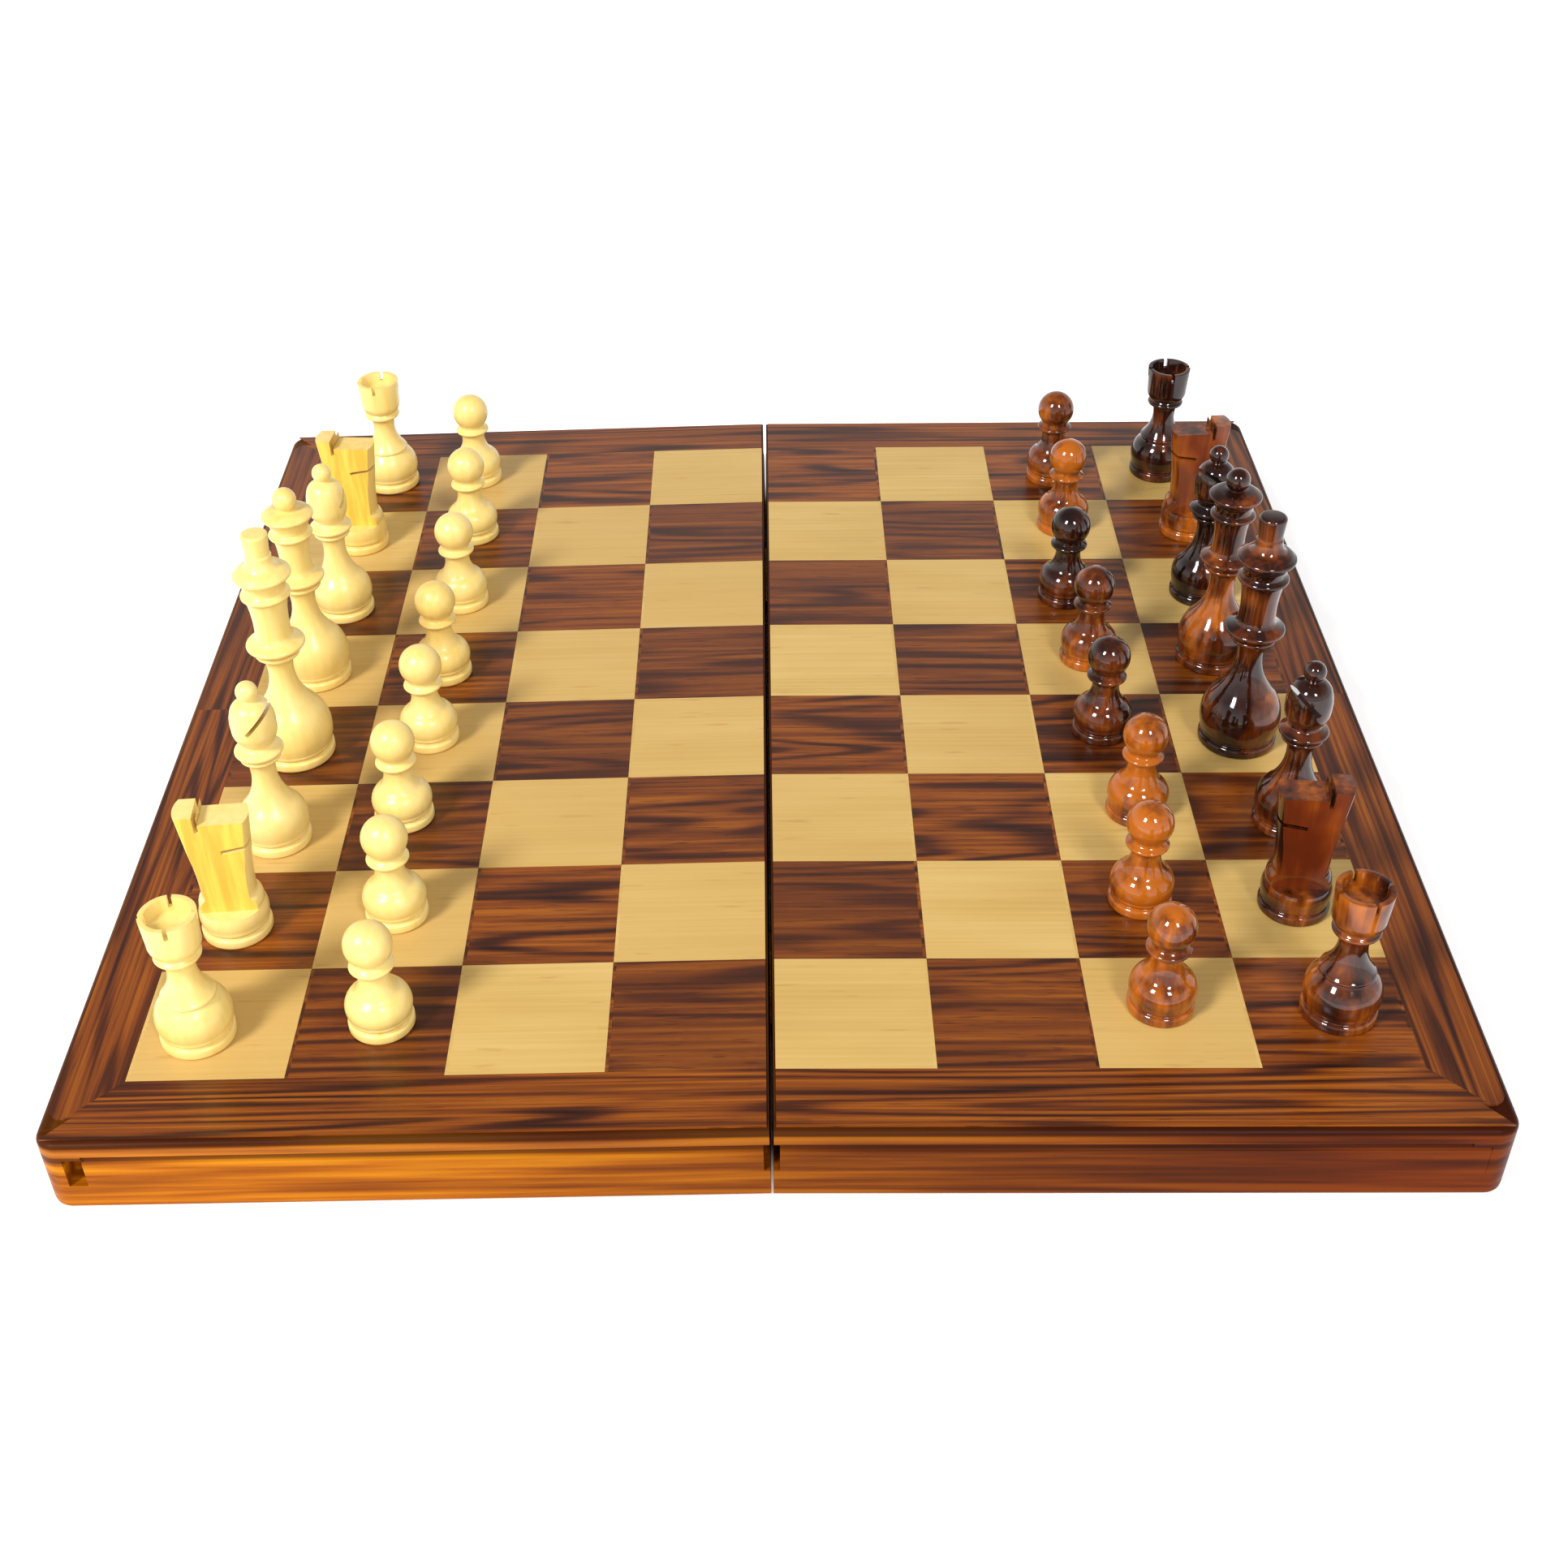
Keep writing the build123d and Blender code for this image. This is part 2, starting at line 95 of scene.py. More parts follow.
# %% A reading
class Reading:
    """One output of a node, on which the ordinary operators make Math nodes."""

    def __init__(self, finish, socket):
        self.finish = finish
        self.socket = socket

    def maths(self, operation, *values):
        return self.finish.node("Math", {"operation": operation}, dict(enumerate(values)))

    def __add__(self, other):
        return self.maths("ADD", self, other)

    def __radd__(self, other):
        return self.maths("ADD", other, self)

    def __sub__(self, other):
        return self.maths("SUBTRACT", self, other)

    def __rsub__(self, other):
        return self.maths("SUBTRACT", other, self)

    def __mul__(self, other):
        return self.maths("MULTIPLY", self, other)

    def __rmul__(self, other):
        return self.maths("MULTIPLY", other, self)

    def __truediv__(self, other):
        return self.maths("DIVIDE", self, other)

    def __rtruediv__(self, other):
        return self.maths("DIVIDE", other, self)

    def __pow__(self, other):
        return self.maths("POWER", self, other)

    def __abs__(self):
        return self.maths("ABSOLUTE", self)


print("a reading knows + - * / ** and abs")


# %% A finish
class Finish:
    """A material with one glossy surface, and the few moves that its patterns are made of."""

    def __init__(self, name):
        self.material = bpy.data.materials.new(name)
        self.material.use_nodes = True
        self.nodes = self.material.node_tree.nodes
        self.links = self.material.node_tree.links
        self.shader = self.nodes["Principled BSDF"]

    def node(self, kind, settings=None, values=None, out=0):
        made = self.nodes.new("ShaderNode" + kind)
        for key, setting in (settings or {}).items():
            if key == "stops":
                elements = made.color_ramp.elements
                for place, colour in setting[len(elements):]:
                    elements.new(place)
                for element, (place, colour) in zip(elements, setting):
                    element.position = place
                    element.color = colour
            else:
                setattr(made, key, setting)
        for key, value in (values or {}).items():
            if isinstance(value, Reading):
                self.links.new(value.socket, made.inputs[key])
            else:
                made.inputs[key].default_value = value
        return Reading(self, made.outputs[out])

    def feed(self, **varying):
        for key, reading in varying.items():
            self.links.new(reading.socket, self.shader.inputs[key.replace("_", " ")])

    def still(self, **constants):
        for key, value in constants.items():
            self.shader.inputs[key.replace("_", " ")].default_value = value


print("a finish holds one Principled shader")


# %% [markdown]
# ## Places, noises and colours
# A pattern has to sit still on its own piece, so it reads object coordinates. On the sloping halves
# a Mapping node takes the slope away again, and then X, Y and Z run along, across and up the wood.

# %% Moves that patterns are made of
def paint(red, green, blue):
    """A colour as a paint chart gives it, 0 to 255, in the linear light that shaders work in."""
    straight = [c / 255 / 12.92 if c < 11 else ((c / 255 + 0.055) / 1.055) ** 2.4 for c in (red, green, blue)]
    return (*straight, 1.0)


def laid_flat(finish, side):
    """Places on one half of the board, measured from its hinge line, without its slope."""
    places = finish.node("TexCoord", out="Object")
    level = {"Vector": places, "Location": hinge_line, "Rotation": (0, slopes[side], 0)}
    return finish.node("Mapping", {"vector_type": "TEXTURE"}, level)


def along(finish, places):
    """The three readings X, Y and Z of a place."""
    return [finish.node("SeparateXYZ", values={"Vector": places}, out=axis) for axis in range(3)]


def at(finish, x, y, z):
    """The place with the readings x, y and z."""
    return finish.node("CombineXYZ", values={0: x, 1: y, 2: z})


def noise(finish, places, scale=1.0, detail=2.0, distortion=0.0):
    """Smooth noise around a half."""
    values = {"Vector": places, "Scale": scale, "Detail": detail, "Distortion": distortion}
    return finish.node("TexNoise", values=values)


def ramp(finish, reading, *stops):
    """Colours laid along a reading."""
    return finish.node("ValToRGB", {"stops": stops}, {"Fac": reading})


def eased(finish, reading, low, high, first=0.0, last=1.0):
    """A reading stretched smoothly from low..high to first..last."""
    values = {"Value": reading, "From Min": low, "From Max": high, "To Min": first, "To Max": last}
    return finish.node("MapRange", {"interpolation_type": "SMOOTHSTEP"}, values)


def mixed(finish, share, first, second):
    """Two colours mixed by a share."""
    settings = {"data_type": "RGBA", "blend_type": "MIX", "clamp_factor": True}
    return finish.node("Mix", settings, {0: share, 6: first, 7: second}, out=2)


def raised(finish, height, depth, strength=1.0):
    """A bump of a real depth in metres."""
    return finish.node("Bump", values={"Height": height, "Distance": depth, "Strength": strength})


print("places, noises, ramps, mixes and bumps are ready")

# %% [markdown]
# ## Rosewood
# The dark squares and the border are rosewood veneer: wavy dark lines on a warm brown, with short
# dark pores. The lines are the level curves of one noise stretched along the grain, as growth
# rings are level curves of a tree. Each square was cut from another place in the sheet, so a
# random number made from the square's row and column moves its pattern and shades it.

# %% Which square a place is on
def cut_number(finish, x, y):
    """A random number for each square of veneer."""
    column = (x / square).maths("FLOOR", x / square)
    row = (y / square).maths("FLOOR", y / square)
    return finish.node("TexWhiteNoise", {"noise_dimensions": "3D"}, {"Vector": at(finish, column, row, 7.0)})


def rosewood_figure(finish, run, rise, cut):
    """Rosewood colour for a grain along run, with the rings stepping along rise."""
    shift = cut * 3.0
    stretched = at(finish, run * 4.5 + shift, rise * 44.0 + shift, shift)
    broad = noise(finish, stretched, detail=1.5, distortion=0.1)
    rings = (broad * 62.0).maths("SINE", broad * 62.0) * 0.5 + 0.5
    strength = noise(finish, at(finish, run * 16.0, rise * 90.0 + shift, shift), detail=2.0)
    fine = noise(finish, at(finish, run * 16.0 + shift, rise * 640.0, shift), detail=3.0)
    pores = eased(finish, noise(finish, at(finish, run * 110.0, rise * 1500.0, shift), detail=1.0), 0.6, 0.72)
    dark = rings ** 2.2 * eased(finish, strength, 0.3, 0.62, 0.15, 1.0) * 0.44 + fine * 0.76 - 0.12
    body = ramp(
        finish,
        dark,
        (0.06, paint(164, 92, 18)),
        (0.28, paint(124, 61, 13)),
        (0.5, paint(76, 33, 9)),
        (0.8, paint(32, 11, 5)),
    )
    shaded = mixed(finish, eased(finish, cut, 0.0, 1.0, 0.0, 0.45), body, paint(76, 36, 17))
    return mixed(finish, pores * 0.45, shaded, paint(36, 14, 10)), fine


def lacquered(finish, rough, shine):
    """A rubbed clear lacquer."""
    finish.still(Roughness=rough, IOR=1.5, Specular_IOR_Level=shine)


def rosewood_squares(side):
    """Dark squares of one half."""
    finish = Finish(f"rosewood_squares_{side}")
    x, y, z = along(finish, laid_flat(finish, side))
    colour, fine = rosewood_figure(finish, x, y, cut_number(finish, x, y))
    finish.feed(Base_Color=colour, Normal=raised(finish, fine, 0.03 * mm, 0.5))
    lacquered(finish, 0.3, 0.4)
    return finish.material


print("rosewood is a stretched noise read as rings")


# %% [markdown]
# ## Border
# The border is four strips of the same sheet, mitred at the corners: the grain runs along each
# strip. One test tells the strips apart: a place is on a side strip when it is further out past
# the field sideways than endways.

# %% Border veneer
field_side = 4 * square
field_end = field_side + 0.9 * mm


def rosewood_border(side):
    """The border of one half, with its grain turned at the mitre."""
    finish = Finish(f"rosewood_border_{side}")
    x, y, z = along(finish, laid_flat(finish, side))
    past_side = abs(x) - field_end
    past_end = abs(y) - field_side
    on_side = (past_side - past_end).maths("GREATER_THAN", past_side - past_end, 0.0)
    run = y * on_side + x * (1 - on_side)
    rise = x * on_side + y * (1 - on_side)
    strip = on_side * 0.37 + y.maths("GREATER_THAN", y, 0.0) * 0.21
    colour, fine = rosewood_figure(finish, run * 0.7, rise * 1.7, strip)
    finish.feed(Base_Color=colour, Normal=raised(finish, fine, 0.03 * mm, 0.5))
    lacquered(finish, 0.3, 0.36)
    return finish.material


print("the mitre is one comparison")


# %% [markdown]
# ## Pale squares
# The light squares are a close, even wood such as maple under a golden lacquer. Its figure is
# only fine straight lines with a slow drift of colour, so two stretched noises are enough, and
# again each square has its own shade.

# %% Pale veneer
def pale_squares(side):
    """Light squares of one half."""
    finish = Finish(f"pale_squares_{side}")
    x, y, z = along(finish, laid_flat(finish, side))
    cut = cut_number(finish, x, y)
    shift = cut * 5.0
    slow = noise(finish, at(finish, x * 14.0 + shift, y * 60.0, shift), detail=2.0)
    lines = noise(finish, at(finish, x * 10.0, y * 900.0 + shift, shift), detail=2.0)
    flecks = eased(finish, noise(finish, at(finish, x * 60.0, y * 420.0, shift), detail=1.0), 0.66, 0.78)
    base = ramp(
        finish,
        slow * 0.55 + lines * 0.45,
        (0.28, paint(186, 150, 80)),
        (0.5, paint(201, 166, 96)),
        (0.72, paint(212, 180, 112)),
    )
    shaded = mixed(finish, eased(finish, cut, 0.0, 1.0, 0.0, 0.6), base, paint(194, 156, 88))
    colour = mixed(finish, flecks * 0.35, shaded, paint(170, 118, 60))
    finish.feed(Base_Color=colour, Normal=raised(finish, lines, 0.02 * mm, 0.4))
    lacquered(finish, 0.34, 0.4)
    return finish.material


print("pale veneer is two noises")


# %% [markdown]
# ## Rails
# The rails are solid wood, stained and lacquered, and the grain runs along each rail. Light and shade
# are painted into the colour by height: painted shade on the rounded top edge, in the little groove
# below it and along the foot, and a painted highlight on a band between edge and groove. The face is
# also painted lighter at the left end of the board and darker at the right, as if lit from the left.

# %% Rail wood
def rail_wood(side, runs):
    """Rails of one half whose grain runs along X or Y."""
    finish = Finish(f"rail_{side}_{runs}")
    x, y, z = along(finish, laid_flat(finish, side))
    on_end = (abs(y) - 184.0 * mm).maths("GREATER_THAN", abs(y) - 184.0 * mm, 0.0)
    run, across = (x, y) if runs == "X" else (y * (1 - on_end) + x * on_end, x * (1 - on_end) + y * on_end)
    broad = noise(finish, at(finish, run * 5.0, across * 40.0, z * 95.0), detail=2.0, distortion=0.3)
    rings = (broad * 17.0).maths("SINE", broad * 17.0) * 0.5 + 0.5
    fine = noise(finish, at(finish, run * 16.0, across * 500.0, z * 520.0), detail=3.0)
    dark = eased(finish, rings * 0.4 + fine * 0.9, 0.35, 1.05)
    # Painted light: the rail is the lit copy of the wood at the board's left end and fades into a darker,
    # painted shade copy towards the right end, as if lit from the left.
    painted_side_shade = eased(finish, x, -0.19, 0.16)
    wood = ramp(finish, dark, (0.0, paint(190, 120, 12)), (0.5, paint(166, 92, 8)), (1.0, paint(116, 54, 4)))
    painted_shade_wood = ramp(finish, dark, (0.0, paint(106, 44, 2)), (0.5, paint(84, 30, 1)), (1.0, paint(50, 15, 1)))
    face = mixed(finish, painted_side_shade, wood, painted_shade_wood)
    # Painted shade by height: darker on the rounded top edge and in the groove below it.
    painted_edge_shade = eased(finish, z, 21.6 * mm, 22.4 * mm, 0.0, 0.85)
    painted_groove_shade = eased(finish, abs(z - 18.0 * mm), 0.6 * mm, 1.3 * mm, 0.7, 0.0)
    # Painted highlight: a lighter band between the top edge and the groove, fading out towards the right.
    painted_highlight_band = eased(finish, abs(z - 20.5 * mm), 0.8 * mm, 1.4 * mm, 0.16, 0.0)
    # foot is painted shade along the bottom of the rail.
    foot = eased(finish, z, 0.2 * mm, 1.6 * mm, 0.3, 0.0)
    painted_highlight_face = mixed(finish, painted_highlight_band * (1 - painted_side_shade), face, paint(176, 118, 66))
    painted_shade_mask = (painted_edge_shade + painted_groove_shade + foot).maths("MINIMUM", painted_edge_shade + painted_groove_shade + foot, 0.85)
    # stained is the wood with all the painted shade mixed in, towards a near-black brown.
    stained = mixed(finish, painted_shade_mask, painted_highlight_face, paint(40, 12, 5))
    finish.feed(Base_Color=stained, Normal=raised(finish, fine, 0.04 * mm, 0.5))
    lacquered(finish, 0.36, 0.05)
    return finish.material


# The colour by height on the rail is painted shade and a painted highlight over the stained wood.
print("stain follows the height on the rail")

# %% Dress the board
def dress(node, material):
    """Gives one frame node a finish."""
    frame["nodes"][node].material_slots[0].material = material


for side in halves:
    dress(f"{side}_dark_squares", rosewood_squares(side))
    dress(f"{side}_light_squares", pale_squares(side))
    dress(f"{side}_border_veneer", rosewood_border(side))
    lengthways, endways = rail_wood(side, "Y"), rail_wood(side, "X")
    dress(f"{side}_outer_rail", lengthways)
    dress(f"{side}_joint_rail", lengthways)
    dress(f"{side}_front_rail", endways)
    dress(f"{side}_back_rail", endways)
print("squares, borders and rails are dressed")


# %% [markdown]
# ## Plywood panels and metal
# The panels show only inside the box, as pale plywood with its layers at the edge. The hinges are
# stamped brass that has been brushed along its length and has dulled in patches, and the magnets
# are nickel plated.

# %% Plywood, brass and nickel
def plywood(side):
    """The panel under the veneer: a birch face with layers below it."""
    finish = Finish(f"plywood_{side}")
    x, y, z = along(finish, laid_flat(finish, side))
    face = noise(finish, at(finish, x * 60.0, y * 8.0, z * 400.0), detail=3.0, distortion=0.4)
    layers = (z * 4700.0).maths("SINE", z * 4700.0) * 0.5 + 0.5
    colour = ramp(finish, face * 0.8 + layers * 0.2, (0.25, paint(178, 136, 88)), (0.7, paint(222, 188, 138)))
    finish.feed(Base_Color=colour, Normal=raised(finish, face, 0.05 * mm, 0.5))
    finish.still(Roughness=0.6)
    return finish.material


def metal(name, bright, dull, polish, brushing):
    """A plated or solid metal, brushed along Y and dulled in patches."""
    finish = Finish(name)
    places = finish.node("TexCoord", out="Object")
    x, y, z = along(finish, places)
    brushed = noise(finish, at(finish, x * 4000.0, y * 90.0, z * 4000.0), detail=2.0)
    patches = noise(finish, places, scale=160.0, detail=3.0)
    colour = mixed(finish, eased(finish, patches, 0.4, 0.7), bright, dull)
    finish.feed(
        Base_Color=colour,
        Roughness=patches * 0.2 + polish,
        Normal=raised(finish, brushed, 0.01 * mm, brushing),
    )
    finish.still(Metallic=1.0)
    return finish.material


brass = metal("hinge_brass", paint(214, 170, 88), paint(168, 124, 62), 0.18, 0.5)
screw_brass = metal("screw_brass", paint(224, 184, 104), paint(176, 134, 72), 0.12, 0.2)
nickel = metal("magnet_nickel", paint(206, 206, 204), paint(160, 158, 152), 0.1, 0.15)
for side in halves:
    dress(f"{side}_top_panel", plywood(side))
    dress(f"{side}_hinge_leaves", brass)
    dress(f"{side}_hinge_screws", screw_brass)
    dress(f"{side}_magnets", nickel)
dress("hinge_pins", screw_brass)
print("panels, hinges and magnets are dressed")

# %% [markdown]
# ## Felt linings
# Each tray is lined with a thin sheet of felt glued under the panel. It is a real sheet, so it is
# made as a grid given its thickness, with the small ripples that glue leaves.

# %% Felt
def felt_finish():
    """Green baize: matt, with short fibres lying every way."""
    finish = Finish("green_felt")
    places = finish.node("TexCoord", out="Object")
    fibres = noise(finish, places, scale=2600.0, detail=3.0, distortion=2.0)
    clouds = noise(finish, places, scale=45.0, detail=3.0)
    colour = ramp(finish, fibres * 0.6 + clouds * 0.4, (0.3, paint(12, 52, 34)), (0.7, paint(34, 92, 62)))
    finish.feed(Base_Color=colour, Normal=raised(finish, fibres, 0.15 * mm, 0.8))
    finish.still(Roughness=0.95, Sheen_Weight=0.5, Sheen_Roughness=0.5)
    return finish.material


felt_green = felt_finish()
felt_thickness = 1.0 * mm


def level_box(node, side):
    """A frame node's lowest and highest corners, measured on its half without the slope."""
    level = halves[side].inverted()
    corners = [level @ vertex.co for vertex in frame["nodes"][node].data.vertices]
    low = Vector([min(corner[axis] for corner in corners) for axis in range(3)])
    high = Vector([max(corner[axis] for corner in corners) for axis in range(3)])
    return low, high


def lay_felt(side):
    """Cuts the felt, ripples it, thickens it and glues it under its panel."""
    node = f"{side}_felt_lining"
    low, high = level_box(node, side)
    width, depth = high.x - low.x, high.y - low.y
    bpy.ops.object.select_all(action="DESELECT")
    bpy.ops.mesh.primitive_grid_add(x_subdivisions=34, y_subdivisions=70, size=1, location=(0, 0, 0))
    felt = bpy.context.object
    felt.name = f"felt_{side}"
    bpy.ops.object.mode_set(mode="EDIT")
    bpy.ops.mesh.select_all(action="SELECT")
    bpy.ops.transform.resize(value=(width, depth, 1))
    bpy.ops.transform.translate(value=((low.x + high.x) / 2, (low.y + high.y) / 2, high.z))
    bpy.ops.object.mode_set(mode="OBJECT")
    for vertex in felt.data.vertices:
        x, y, _ = vertex.co
        vertex.co.z -= 0.1 * mm * (1 + math.sin(170 * x + 40 * y) * math.sin(95 * y - 60 * x)) / 2
    thicken = felt.modifiers.new("thickness", "SOLIDIFY")
    thicken.thickness = felt_thickness * 0.88
    bpy.ops.object.modifier_apply(modifier=thicken.name)
    felt.data.transform(halves[side])
    felt.data.materials.append(felt_green)
    bpy.ops.object.shade_smooth_by_angle(angle=math.radians(40))
    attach(felt, bodies[side])
    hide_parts(node)
    return felt


felts = [lay_felt(side) for side in halves]
print("felt sheets:", [felt.name for felt in felts])

# %% [markdown]
# ## Turning the men
# A chessman is turned on a lathe: the maker cuts one outline while the wood spins. Here the outline
# is a list of stations, each with its radius, its height and how far the cut before it bows out.
# Drawing it point by point and spinning it is the same craft, and keeps every ring crisp.

# %% The outline between two stations
def bowed(here, there, bulge):
    """Points from one station to the next on an arc that stands out by bulge."""
    if abs(bulge) < 1e-9:
        return [there]
    run = there - here
    outward = Vector((run.y, -run.x)).normalized()
    reach = run.length / 2
    sweep = 2 * math.atan(bulge / reach)
    radius = reach / math.sin(sweep)
    steps = max(3, math.ceil(abs(2 * sweep) / math.radians(9)))
    middle = (here + there) / 2
    points = []
    for step in range(1, steps + 1):
        turn = sweep * (2 * step / steps - 1)
        lift = radius * math.cos(turn) - (radius - bulge)
        points.append(middle + run.normalized() * radius * math.sin(turn) + outward * lift)
    return points


def outline(stations):
    """The whole outline in metres, from the middle of the foot to the crown."""
    points = [Vector((0, 0))]
    for radius, height, bulge in stations:
        points += bowed(points[-1], Vector((radius, height)) * mm, bulge * mm)
    points[-1].x = max(points[-1].x, 0)
    return points


print("a quarter round takes", len(bowed(Vector((0, 0)), Vector((1, 1)), 0.29)), "points")


# %% The feet and heads that men share
def foot(radius):
    """The stepped foot: a rounded plinth, a cove and a bead."""
    return [
        (radius - 0.6, 0, 0),
        (radius, 0.8, 0.12),
        (radius, 2.4, 0),
        (radius - 0.7, 3.2, 0.12),
        (radius - 1.0, 3.6, -0.15),
        (radius - 0.4, 4.4, 0.1),
        (radius - 0.4, 5.2, 0.05),
    ]


def ball(radius, top, neck):
    """A ball that grows out of a neck."""
    drop = math.sqrt(radius**2 - neck**2)
    half_sweep = (math.pi / 2 + math.asin(drop / radius)) / 2
    return [(neck, top - radius - drop, 0), (0, top, radius * (1 - math.cos(half_sweep)))]


print("foot of a pawn:", foot(9)[0], "to", foot(9)[-1])

# %% The six outlines
pawn_outline = [*foot(9), (6.2, 12.4, 1.5), (5.8, 13, 0), (4.4, 20.2, -0.8), (5.7, 20.8, 0)]
pawn_outline += [(5.7, 22, 0.4), (4.7, 22.8, 0), *ball(6.6, 35, 4.7)]
rook_outline = [*foot(10.2), (7.7, 14.2, 1.5), (7.2, 14.9, 0), (7.2, 16.1, 0.3), (6.7, 16.8, 0)]
rook_outline += [(4.4, 28, -1.4), (6, 28.8, 0), (6, 30.1, 0.4), (5.4, 30.8, 0), (7.1, 34.6, 0.6)]
rook_outline += [(7.6, 43, 0), (6.1, 43, 0), (5.7, 39, 0), (0, 38.6, 0)]
knight_outline = [*foot(10), (9.1, 10.4, 0.5), (7.9, 14, 0.5), (7.7, 15.6, -0.1), (8.9, 30, -0.3)]
knight_outline += [(10.3, 43.5, 0), (0, 43.5, 0)]
bishop_outline = [*foot(10.2), (7.2, 15.2, 1.6), (6.7, 15.9, 0), (4.2, 30, -1.5), (5.6, 30.7, 0)]
bishop_outline += [(5.6, 31.7, 0.35), (5, 32.3, 0), (6.7, 33, 0), (6.7, 34.4, 0.45), (5, 35.4, 0)]
bishop_outline += [(4.7, 36.6, -0.2), (6.6, 42.2, 0.6), (6, 47.6, 0.3), (2.5, 50.9, 0.7), *ball(3.2, 57, 2)]
queen_outline = [*foot(11.5), (7.8, 18.4, 2), (7.3, 19.2, 0), (4.6, 34.2, -1.8), (6.2, 35, 0)]
queen_outline += [(6.2, 36.2, 0.4), (5.4, 36.9, 0), (7.7, 37.9, 0), (7.7, 39.5, 0.55), (5.7, 40.6, 0)]
queen_outline += [(5, 43, -0.2), (5.6, 53.2, -0.3), (6.6, 53.9, 0), (6.6, 55.3, 0.45), (5.8, 56, 0)]
queen_outline += [(7.8, 60.6, -0.5), (7.8, 62, 0.45), (4.6, 63.1, 0.3), (2.4, 63.4, 0), *ball(3.8, 70.5, 2.4)]
king_outline = [*foot(12), (8.2, 19.8, 2.2), (7.7, 20.7, 0), (4.7, 36.6, -2), (6.4, 37.5, 0)]
king_outline += [(6.4, 38.8, 0.45), (5.6, 39.6, 0), (8.4, 40.6, 0), (8.4, 42.3, 0.6), (6.3, 43.5, 0)]
king_outline += [(5.5, 45.6, -0.2), (6.3, 57.6, -0.4), (7.1, 58.4, 0), (7.1, 59.9, 0.5), (6.3, 60.7, 0)]
king_outline += [(8.3, 65.2, -0.5), (8.3, 66.8, 0.5), (5.6, 68.4, 0.3), (4, 72.4, -0.6), (3.6, 73, 0)]
king_outline += [(4.1, 79, 0), (3.2, 80, 0.25), (0, 80, 0)]
print("stations from pawn to king:", len(pawn_outline), "to", len(king_outline))


# %% [markdown]
# ## At the lathe
# One vertex is drawn out into the outline and spun about the upright axis. The seam and the two
# poles are merged, the corners get the small roundness that sanding leaves, and the normals are
# recalculated, because a spin may turn a shape inside out.

# %% Spin one man
def turn_man(kind, stations):
    """A turned man standing at the origin."""
    points = outline(stations)
    bpy.ops.object.select_all(action="DESELECT")
    bpy.ops.mesh.primitive_plane_add(size=mm, location=(0, 0, 0))
    man = bpy.context.object
    man.name = kind
    bpy.ops.object.mode_set(mode="EDIT")
    bpy.ops.mesh.select_all(action="SELECT")
    bpy.ops.mesh.merge(type="CENTER")
    for here, there in zip(points, points[1:]):
        step = there - here
        bpy.ops.mesh.extrude_vertices_move(TRANSFORM_OT_translate={"value": (step.x, 0, step.y)})
    bpy.ops.mesh.select_all(action="SELECT")
    bpy.ops.mesh.spin(steps=56, angle=2 * math.pi, center=(0, 0, 0), axis=(0, 0, 1))
    bpy.ops.mesh.select_all(action="SELECT")
    bpy.ops.mesh.remove_doubles(threshold=0.003 * mm)
    bpy.ops.mesh.normals_make_consistent(inside=False)
    bpy.ops.object.mode_set(mode="OBJECT")
    rounded = man.modifiers.new("sanded", "BEVEL")
    rounded.width = 0.16 * mm
    rounded.segments = 2
    rounded.limit_method = "ANGLE"
    rounded.angle_limit = math.radians(24)
    bpy.ops.object.modifier_apply(modifier=rounded.name)
    return man


outlines = {
    "pawn": pawn_outline,
    "rook": rook_outline,
    "knight": knight_outline,
    "bishop": bishop_outline,
    "queen": queen_outline,
    "king": king_outline,
}
patterns = {kind: turn_man(kind, stations) for kind, stations in outlines.items()}
print({kind: len(man.data.polygons) for kind, man in patterns.items()}, "faces")


# %% [markdown]
# ## Saw cuts
# The rook's battlements, the bishop's mitre and the whole knight are sawn after turning. A block is
# placed where the saw passes and taken away with a Boolean modifier.

# %% Saw
def saw(man, middle, size, lean=0.0):
    """Takes away one block, given in millimetres, that leans about Y."""
    bpy.ops.object.select_all(action="DESELECT")
    place = [length * mm for length in middle]
    scale = [length * mm for length in size]
    bpy.ops.mesh.primitive_cube_add(size=1, location=place, rotation=(0, -lean, 0), scale=scale)
    waste = bpy.context.object
    cut = man.modifiers.new("saw", "BOOLEAN")
    cut.operation = "DIFFERENCE"
    cut.object = waste
    bpy.ops.object.select_all(action="DESELECT")
    man.select_set(True)
    bpy.context.view_layer.objects.active = man
    bpy.ops.object.modifier_apply(modifier=cut.name)
    bpy.data.objects.remove(waste)


blade = 1.2
saw(patterns["rook"], (0, 0, 43), (30, blade, 6))
saw(patterns["rook"], (0, 0, 43), (blade, 30, 6))
slit = 10.2 / math.sqrt(2)
saw(patterns["bishop"], (-0.8 + slit, 0, 42.6 + slit), (20.4, 20.4, blade), math.radians(45))
print("rook and bishop are sawn")

# %% The knight's head
knight = patterns["knight"]
ears = -10 / 3
half_head = 4.6
saw(knight, (0, half_head + 10, 28), (50, 20, 36))
saw(knight, (0, -half_head - 10, 28), (50, 20, 36))
saw(knight, (ears + 15, 0, 45.9), (30, 40, 10))
saw(knight, (ears - blade / 2, 0, 43.3), (blade, 40, 10))
lip = math.atan(0.18)
saw(knight, (1.2 + 10 * math.cos(lip), 0, 31 + 10 * math.sin(lip)), (20, 40, blade), lip)
print("the knight has", len(knight.data.polygons), "faces")

# %% [markdown]
# ## Marks that the finish reads
# Two facts go with each man as attributes: how strongly it took the stain, which differs from man
# to man, and where a face was sawn, because sawn wood drinks more colour than turned wood.

